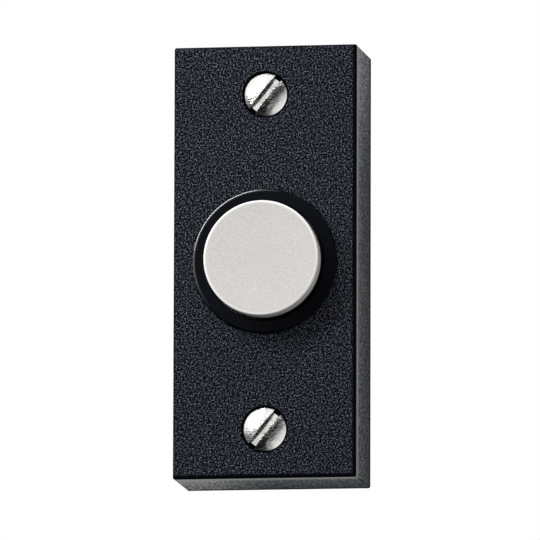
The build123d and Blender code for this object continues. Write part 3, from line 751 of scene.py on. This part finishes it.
dome_radius = (HEAD_RADIUS ** 2 + DOME ** 2) / (2 * DOME)
dome_lean = math.asin(HEAD_RADIUS / dome_radius)
dome_top = SCREW_RIM_Y - DOME
profile = []
for ring in range(1, DOME_RINGS + 1):
    lean = dome_lean * ring / DOME_RINGS
    profile.append((dome_radius * math.sin(lean), dome_top + dome_radius * (1 - math.cos(lean))))
profile += [
    (SHANK_RADIUS, SCREW_RIM_Y + HEAD_RADIUS - SHANK_RADIUS),
    (SHANK_RADIUS, SHANK_END_Y),
    (CORE_RADIUS, CORE_START_Y),
    (CORE_RADIUS, POINT_START_Y),
    (POINT_RADIUS, POINT_Y),
]
wall_screw = turn_profile("upper_wall_screw", profile)
print("turned faces:", len(wall_screw.data.polygons))

# %% [markdown]
# The ridge is a triangle carried along a helix by the Screw modifier. The helix keeps one radius, so a
# Simple Deform modifier then tapers the stretch that lies on the point. It measures from the object's own
# origin, and the ridge is built with that origin where the point begins.

# %% Raise the thread
PITCH, RIDGE_DEPTH, RIDGE_FOOT, THREAD_STEPS, POINT_TAPER = 1.45, 0.7, 0.8, 28, -0.9
THREAD_START_Y, THREAD_STOP = 0.75, 0.45
THREAD_START = THREAD_START_Y - POINT_START_Y
THREAD_END = POINT_Y - POINT_START_Y - THREAD_STOP
turns = round((THREAD_END - THREAD_START) / PITCH)

bpy.ops.object.select_all(action="DESELECT")
bpy.ops.mesh.primitive_circle_add(
    vertices=3,
    radius=1,
    location=((CREST_RADIUS - RIDGE_DEPTH * 2 / 3) * MM, THREAD_START * MM, 0),
    rotation=(0, 0, -math.pi / 2),
)
thread = bpy.context.object
thread.name = "thread_ridge"
thread.scale = (RIDGE_FOOT / math.sqrt(3) * MM, RIDGE_DEPTH / 1.5 * MM, 1)
settle()
apply_modifier(
    thread, "SCREW", axis="Y", angle=2 * math.pi, screw_offset=PITCH * MM, iterations=turns,
    steps=THREAD_STEPS, render_steps=THREAD_STEPS,
)
heights = [vertex.co.y for vertex in thread.data.vertices]
taper_start = (0 - min(heights)) / (max(heights) - min(heights))
apply_modifier(
    thread, "SIMPLE_DEFORM", deform_method="TAPER", deform_axis="Y", factor=POINT_TAPER,
    limits=(taper_start, 1),
)
bpy.ops.object.mode_set(mode="EDIT")
bpy.ops.mesh.select_all(action="SELECT")
bpy.ops.mesh.fill_holes(sides=0)
bpy.ops.mesh.normals_make_consistent(inside=False)
bpy.ops.transform.translate(value=(0, POINT_START_Y * MM, 0))
bpy.ops.object.mode_set(mode="OBJECT")
print("thread turns:", turns, "ends at y in mm:", round(max(v.co.y for v in thread.data.vertices) / MM, 2))

# %% [markdown]
# The ridge is joined to the core with a Boolean, so that the screw is one clean skin. The driver slot has
# rounded lips, which flash where they turn to the light. A bevel would have to follow a cut that crosses
# every ring of the dome, so the lips are cut instead, by a strip that flares like a trumpet. Here its
# section is worked out, as pairs of half width and distance from the middle of the dome's sphere.

# %% Join the thread and lay out the lips of the slot
LIP_RADIUS, LIP_STEPS, LIP_SWEEP = 0.22, 4, math.radians(72)
LIP_DEPTH, FLARE_END = 0.35, 0.3
apply_modifier(wall_screw, "BOOLEAN", operation="UNION", object=thread, solver="EXACT")
bpy.data.objects.remove(thread)

half_width = SLOT_WIDTH / 2
flare = [(half_width, dome_radius - LIP_DEPTH)]
for step in range(LIP_STEPS + 1):
    sweep = LIP_SWEEP * step / LIP_STEPS
    out = half_width + LIP_RADIUS * (1 - math.cos(sweep))
    flare.append((out, dome_radius - LIP_RADIUS * (1 - math.sin(sweep))))
last_half, last_reach = flare[-1]
flare.append((last_half + FLARE_END * math.sin(LIP_SWEEP), last_reach + FLARE_END * math.cos(LIP_SWEEP)))
print("points of the flare:", len(flare))

# %% [markdown]
# The strip starts as a plane, whose front edge is extruded and widened along the flare. It is then spun
# about the middle of the dome's sphere, which keeps its flare on the dome's surface from end to end.

# %% Make the lip cutter
HEAD_SWING, SWING_STEPS = math.radians(42), 40
NEAR = 0.001 * MM
dome_middle = (0, (dome_top + dome_radius) * MM, 0)
(first_half, first_reach), (second_half, second_reach) = flare[0], flare[1]
bpy.ops.object.select_all(action="DESELECT")
bpy.ops.mesh.primitive_plane_add(size=1, rotation=(0, math.pi / 2, 0))
lip_cutter = bpy.context.object
lip_cutter.location = (0, dome_middle[1] - (first_reach + second_reach) / 2 * MM, 0)
lip_cutter.scale = (2 * first_half * MM, (second_reach - first_reach) * MM, 1)
settle()
strip = lip_cutter.data
front_y = min(vertex.co.y for vertex in strip.vertices)
for vertex in strip.vertices:
    vertex.select = vertex.co.y < front_y + NEAR
for line in strip.edges:
    line.select = all(strip.vertices[i].select for i in line.vertices)
strip.polygons[0].select = False
bpy.ops.object.mode_set(mode="EDIT")
bpy.ops.mesh.select_mode(type="EDGE")
for (half, reach), (next_half, next_reach) in zip(flare[1:], flare[2:]):
    bpy.ops.mesh.extrude_edges_move(TRANSFORM_OT_translate={"value": (0, (reach - next_reach) * MM, 0)})
    bpy.ops.transform.resize(value=(1, 1, next_half / half), center_override=(0, 0, 0))
bpy.ops.mesh.select_all(action="SELECT")
bpy.ops.transform.rotate(value=-HEAD_SWING, orient_axis="Z", center_override=dome_middle)
bpy.ops.mesh.spin(steps=SWING_STEPS, angle=2 * HEAD_SWING, center=dome_middle, axis=(0, 0, 1))
bpy.ops.mesh.select_all(action="SELECT")
bpy.ops.mesh.normals_make_consistent(inside=False)
bpy.ops.object.mode_set(mode="OBJECT")
lip_cutter.rotation_euler = (0, -SLOT_ANGLE, 0)
settle()
print("faces of the lip cutter:", len(strip.polygons))

# %% [markdown]
# Two cuts make the slot: first the flared strip for its lips, then a plain bar for its walls and floor. A
# narrow bevel on what is left sharp catches a line of light.

# %% Cut the slot
EDGE_BREAK, BREAK_ANGLE, SCREW_SMOOTH_ANGLE = 0.06 * MM, math.radians(50), math.radians(32)
apply_modifier(wall_screw, "BOOLEAN", operation="DIFFERENCE", object=lip_cutter, solver="EXACT")
bpy.data.objects.remove(lip_cutter)
bpy.ops.object.select_all(action="DESELECT")
bpy.ops.mesh.primitive_cube_add(size=1, location=(0, dome_top * MM, 0), rotation=(0, -SLOT_ANGLE, 0))
bar = bpy.context.object
bar.scale = (3 * HEAD_RADIUS * MM, 2 * SLOT_DEPTH * MM, SLOT_WIDTH * MM)
settle()
apply_modifier(wall_screw, "BOOLEAN", operation="DIFFERENCE", object=bar, solver="EXACT")
bpy.data.objects.remove(bar)
apply_modifier(
    wall_screw, "BEVEL", width=EDGE_BREAK, segments=2, limit_method="ANGLE", angle_limit=BREAK_ANGLE
)
bpy.ops.object.shade_smooth_by_angle(angle=SCREW_SMOOTH_ANGLE)
print("screw faces:", len(wall_screw.data.polygons))

# %% [markdown]
# Both screws are alike, so the second is a copy with its own mesh. Each is moved to its hole and the move
# is put into its mesh, because the finish reads Object coordinates and would slide with an object that
# stays moved.

# %% Place the two screws
lower_wall_screw = wall_screw.copy()
lower_wall_screw.data = wall_screw.data.copy()
lower_wall_screw.name = lower_wall_screw.data.name = "lower_wall_screw"
scene.collection.objects.link(lower_wall_screw)
for screw, end in ((wall_screw, 1), (lower_wall_screw, -1)):
    screw.location = (0, 0, end * SCREW_Z * MM)
    pick(screw)
    settle()
    screw.data.materials.clear()
    screw.data.materials.append(finishes["screw_plating"])
    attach(screw, "case")
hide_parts("upper_fixing_screw")
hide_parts("lower_fixing_screw")
print("screws placed:", wall_screw.name, lower_wall_screw.name)

# %% [markdown]
# ## Return spring
# A compression spring is open in the middle and closed at both ends: the last turn lies against its
# neighbour and is ground flat, so the spring stands square. CAD winds it at one pitch. Here three runs of
# wire are wound with the Screw modifier, the end turns tight and the middle open.

# %% Wind the spring
COIL_RADIUS, WIRE_RADIUS, WIRE_SIDES, COIL_STEPS = 2.75, 0.25, 12, 36
SPRING_FOOT_Y, SPRING_HEAD_Y = -2.4, -13.0
END_RISE, GRIND, MIDDLE_TURNS = 0.5, 0.2, 5.5
first_y = SPRING_FOOT_Y - WIRE_RADIUS + GRIND
last_y = SPRING_HEAD_Y + WIRE_RADIUS - GRIND
middle_rise = first_y - last_y - 2 * END_RISE

runs = []
for start_x, start_y, run_turns, rise in (
    (COIL_RADIUS, first_y, 1, END_RISE),
    (COIL_RADIUS, first_y - END_RISE, MIDDLE_TURNS, middle_rise),
    (-COIL_RADIUS, last_y + END_RISE, 1, END_RISE),
):
    bpy.ops.object.select_all(action="DESELECT")
    bpy.ops.mesh.primitive_circle_add(
        vertices=WIRE_SIDES, radius=WIRE_RADIUS * MM, location=(start_x * MM, start_y * MM, 0)
    )
    run = bpy.context.object
    settle()
    steps = round(COIL_STEPS * run_turns)
    apply_modifier(
        run, "SCREW", axis="Y", angle=2 * math.pi * run_turns, screw_offset=-rise * MM, iterations=1,
        steps=steps, render_steps=steps,
    )
    runs.append(run)
print("runs of wire:", [len(run.data.polygons) for run in runs])

# %% [markdown]
# The runs are joined into one wire, and two bisecting planes grind its ends. When the cap is pushed, the
# spring gets shorter towards its foot. A shape key could show that; here the spring is only attached to the
# case.

# %% Join and grind the spring
WELD, CUT_TOLERANCE, SPRING_SMOOTH_ANGLE = 0.002 * MM, 1e-7, math.radians(40)
bpy.ops.object.select_all(action="DESELECT")
for run in runs:
    run.select_set(True)
bpy.context.view_layer.objects.active = runs[0]
bpy.ops.object.join()
coil_spring = bpy.context.object
coil_spring.name = coil_spring.data.name = "coil_spring"
bpy.ops.object.mode_set(mode="EDIT")
bpy.ops.mesh.select_all(action="SELECT")
bpy.ops.mesh.remove_doubles(threshold=WELD)
bpy.ops.mesh.fill_holes(sides=0)
bpy.ops.mesh.normals_make_consistent(inside=False)
for plane_y, way_out in ((SPRING_FOOT_Y, 1), (SPRING_HEAD_Y, -1)):
    bpy.ops.mesh.select_all(action="SELECT")
    bpy.ops.mesh.bisect(
        plane_co=(0, plane_y * MM, 0), plane_no=(0, way_out, 0), use_fill=True, clear_outer=True,
        threshold=CUT_TOLERANCE,
    )
bpy.ops.object.mode_set(mode="OBJECT")
bpy.ops.object.shade_smooth_by_angle(angle=SPRING_SMOOTH_ANGLE)
coil_spring.data.materials.append(finishes["spring_steel"])
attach(coil_spring, "case")
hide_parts("return_spring")
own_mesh(coil_spring)
print("spring faces:", len(coil_spring.data.polygons))

# %% [markdown]
# ## Leaf contact
# The leaf is springy bronze strip, bent up from its pad so that its free end waits under the cap. When
# the cap is pushed, the leaf bends from its root towards the fixed contact. A sheet that is extruded edge
# by edge along the bent path has cross lines where it has to flex, which a boxed solid would lack.

# %% Lay out the bent path
CONTACT_X, STRIP_WIDTH, LEAF_THICKNESS = 6.4, 5.0, 0.35
BEND_Z, BEND_ANGLE, BEND_RADIUS, BEND_STEPS = 10.3, math.radians(35), 1.5, 6
PAD_STEPS, RAMP_STEPS, FREE_STEPS = 6, 4, 14
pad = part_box("moving_contact")
LEAF_LOW = -pad[1].y / MM + LEAF_THICKNESS / 2
LEAF_HIGH = -pad[0].y / MM - LEAF_THICKNESS / 2
LEAF_ROOT_Z, LEAF_FREE_Z = pad[1].z / MM, pad[0].z / MM
tangent = BEND_RADIUS * math.tan(BEND_ANGLE / 2)
ramp_run = (LEAF_HIGH - LEAF_LOW) / math.tan(BEND_ANGLE)


def bend(z, height, start_angle, turn_sign):
    """Points of one bend, as (z, height), after the point where it starts."""
    points = []
    cos, sin = math.cos(start_angle), math.sin(start_angle)
    for step in range(1, BEND_STEPS + 1):
        angle = BEND_ANGLE * step / BEND_STEPS
        ahead, up = BEND_RADIUS * math.sin(angle), BEND_RADIUS * (1 - math.cos(angle))
        points.append((z - ahead * cos + turn_sign * up * sin, height + ahead * sin + turn_sign * up * cos))
    return points


def straight(start, end, pieces):
    """Points that divide a straight run, after its start."""
    return [tuple(a + (b - a) * n / pieces for a, b in zip(start, end)) for n in range(1, pieces + 1)]


leaf_path = [(LEAF_ROOT_Z, LEAF_LOW)]
leaf_path += straight(leaf_path[-1], (BEND_Z + tangent, LEAF_LOW), PAD_STEPS)
leaf_path += bend(*leaf_path[-1], 0, 1)
ramp_end = (
    BEND_Z - ramp_run + tangent * math.cos(BEND_ANGLE),
    LEAF_HIGH - tangent * math.sin(BEND_ANGLE),
)
leaf_path += straight(leaf_path[-1], ramp_end, RAMP_STEPS)
leaf_path += bend(*ramp_end, BEND_ANGLE, -1)
leaf_path += straight(leaf_path[-1], (LEAF_FREE_Z, LEAF_HIGH), FREE_STEPS)
print("points on the leaf:", len(leaf_path), "last:", [round(v, 2) for v in leaf_path[-1]])

# %% [markdown]
# The sheet starts as one small plane at the root. Its last edge is selected by its place and extruded
# from point to point.

# %% Extrude the sheet along the path
bpy.ops.object.select_all(action="DESELECT")
first, second = leaf_path[0], leaf_path[1]
bpy.ops.mesh.primitive_plane_add(size=1)
contact_leaf = bpy.context.object
contact_leaf.name = contact_leaf.data.name = "contact_leaf"
contact_leaf.location = (CONTACT_X * MM, -LEAF_LOW * MM, (first[0] + second[0]) / 2 * MM)
contact_leaf.rotation_euler = (math.pi / 2, 0, 0)
contact_leaf.scale = (STRIP_WIDTH * MM, (first[0] - second[0]) * MM, 1)
settle()


def select_end(piece):
    """Select the edge at the lowest z of a piece, in edit mode."""
    bpy.ops.object.mode_set(mode="OBJECT")
    lowest = min(vertex.co.z for vertex in piece.data.vertices)
    for polygon in piece.data.polygons:
        polygon.select = False
    for line in piece.data.edges:
        line.select = all(piece.data.vertices[i].co.z < lowest + NEAR for i in line.vertices)
    for vertex in piece.data.vertices:
        vertex.select = vertex.co.z < lowest + NEAR
    bpy.ops.object.mode_set(mode="EDIT")


bpy.ops.object.mode_set(mode="EDIT")
bpy.ops.mesh.select_mode(type="EDGE")
select_end(contact_leaf)
for here, there in zip(leaf_path[1:], leaf_path[2:]):
    step = (0, -(there[1] - here[1]) * MM, (there[0] - here[0]) * MM)
    bpy.ops.mesh.extrude_edges_move(TRANSFORM_OT_translate={"value": step})
print("extruded steps:", len(leaf_path) - 2)

# %% [markdown]
# The free end is rounded while the sheet has no thickness, because two corners are easier to bevel than
# four. Then it gets its thickness, and three holes are drilled for the terminal screw, the rivet and the
# contact tip.

# %% Round its end, give it thickness and drill it
END_RADIUS, END_SEGMENTS = 1.2, 8
TERMINAL_Z, RIVET_Z, TIP_Z = 17.5, 12.5, -5.3
TERMINAL_HOLE, RIVET_HOLE, TIP_HOLE = 1.6, 0.8, 0.6
DRILL_SIDES, DRILL_LENGTH = 40, 20 * MM
LEAF_BREAK, LEAF_BREAK_ANGLE, LEAF_SMOOTH_ANGLE = 0.04 * MM, math.radians(60), math.radians(30)
bpy.ops.mesh.select_mode(type="VERT")
select_end(contact_leaf)
bpy.ops.mesh.bevel(offset=END_RADIUS * MM, segments=END_SEGMENTS, affect="VERTICES")
bpy.ops.object.mode_set(mode="OBJECT")
apply_modifier(contact_leaf, "SOLIDIFY", thickness=LEAF_THICKNESS * MM, offset=0)
for drill_z, hole in ((TERMINAL_Z, TERMINAL_HOLE), (RIVET_Z, RIVET_HOLE), (TIP_Z, TIP_HOLE)):
    bpy.ops.object.select_all(action="DESELECT")
    bpy.ops.mesh.primitive_cylinder_add(
        vertices=DRILL_SIDES, radius=hole * MM, depth=DRILL_LENGTH,
        location=(CONTACT_X * MM, 0, drill_z * MM), rotation=(math.pi / 2, 0, 0),
    )
    drill = bpy.context.object
    settle()
    apply_modifier(contact_leaf, "BOOLEAN", operation="DIFFERENCE", object=drill, solver="EXACT")
    bpy.data.objects.remove(drill)
apply_modifier(
    contact_leaf, "BEVEL", width=LEAF_BREAK, segments=1, limit_method="ANGLE", angle_limit=LEAF_BREAK_ANGLE
)
bpy.ops.object.shade_smooth_by_angle(angle=LEAF_SMOOTH_ANGLE)
contact_leaf.data.materials.append(finishes["leaf_bronze"])
print("leaf faces:", len(contact_leaf.data.polygons))

# %% [markdown]
# The contact tip is a small silver rivet: a low dome below the leaf, a shank through it and a formed tail
# on top. It is turned like the screw.

# %% Turn the contact tip
TIP_RADIUS, TIP_SHANK, TAIL_RADIUS, TAIL_EDGE = 1.2, 0.59, 0.9, 0.05
TAIL_SHOULDER, TAIL_TOP, TIP_SMOOTH_ANGLE = 0.86, 0.75, math.radians(40)
DOME_STEPS = ((0.25, 0.0), (0.6, 0.2), (0.9, 0.5), (TIP_RADIUS, 1.0))
tip_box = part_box("moving_contact_tip")
tip_low, tip_high = -tip_box[1].y / MM, -tip_box[0].y / MM
leaf_bottom = LEAF_HIGH - LEAF_THICKNESS / 2
leaf_top = LEAF_HIGH + LEAF_THICKNESS / 2
tip_profile = [(radius, -(tip_low + share * (leaf_bottom - tip_low))) for radius, share in DOME_STEPS]
tip_profile += [
    (TIP_SHANK, -leaf_bottom),
    (TIP_SHANK, -leaf_top),
    (TAIL_RADIUS, -leaf_top),
    (TAIL_SHOULDER, -(tip_high - TAIL_EDGE)),
    (TAIL_TOP, -tip_high),
]
leaf_tip = turn_profile("leaf_tip", tip_profile)
leaf_tip.location = (CONTACT_X * MM, 0, TIP_Z * MM)
pick(leaf_tip)
settle()
bpy.ops.object.shade_smooth_by_angle(angle=TIP_SMOOTH_ANGLE)
leaf_tip.data.materials.append(finishes["tip_silver"])
print("tip faces:", len(leaf_tip.data.polygons))

# %% [markdown]
# The root of the leaf stays with the case and its free end goes down with the cap. Here the leaf and the tip
# only get their transforms put into their meshes, and the CAD nodes they replace are hidden.

# %% Settle leaf and tip and hide the CAD contact
for piece, slot, replaced in (
    (contact_leaf, "leaf_bronze", "moving_contact"),
    (leaf_tip, "tip_silver", "moving_contact_tip"),
):
    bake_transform(piece)
    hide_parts(replaced)
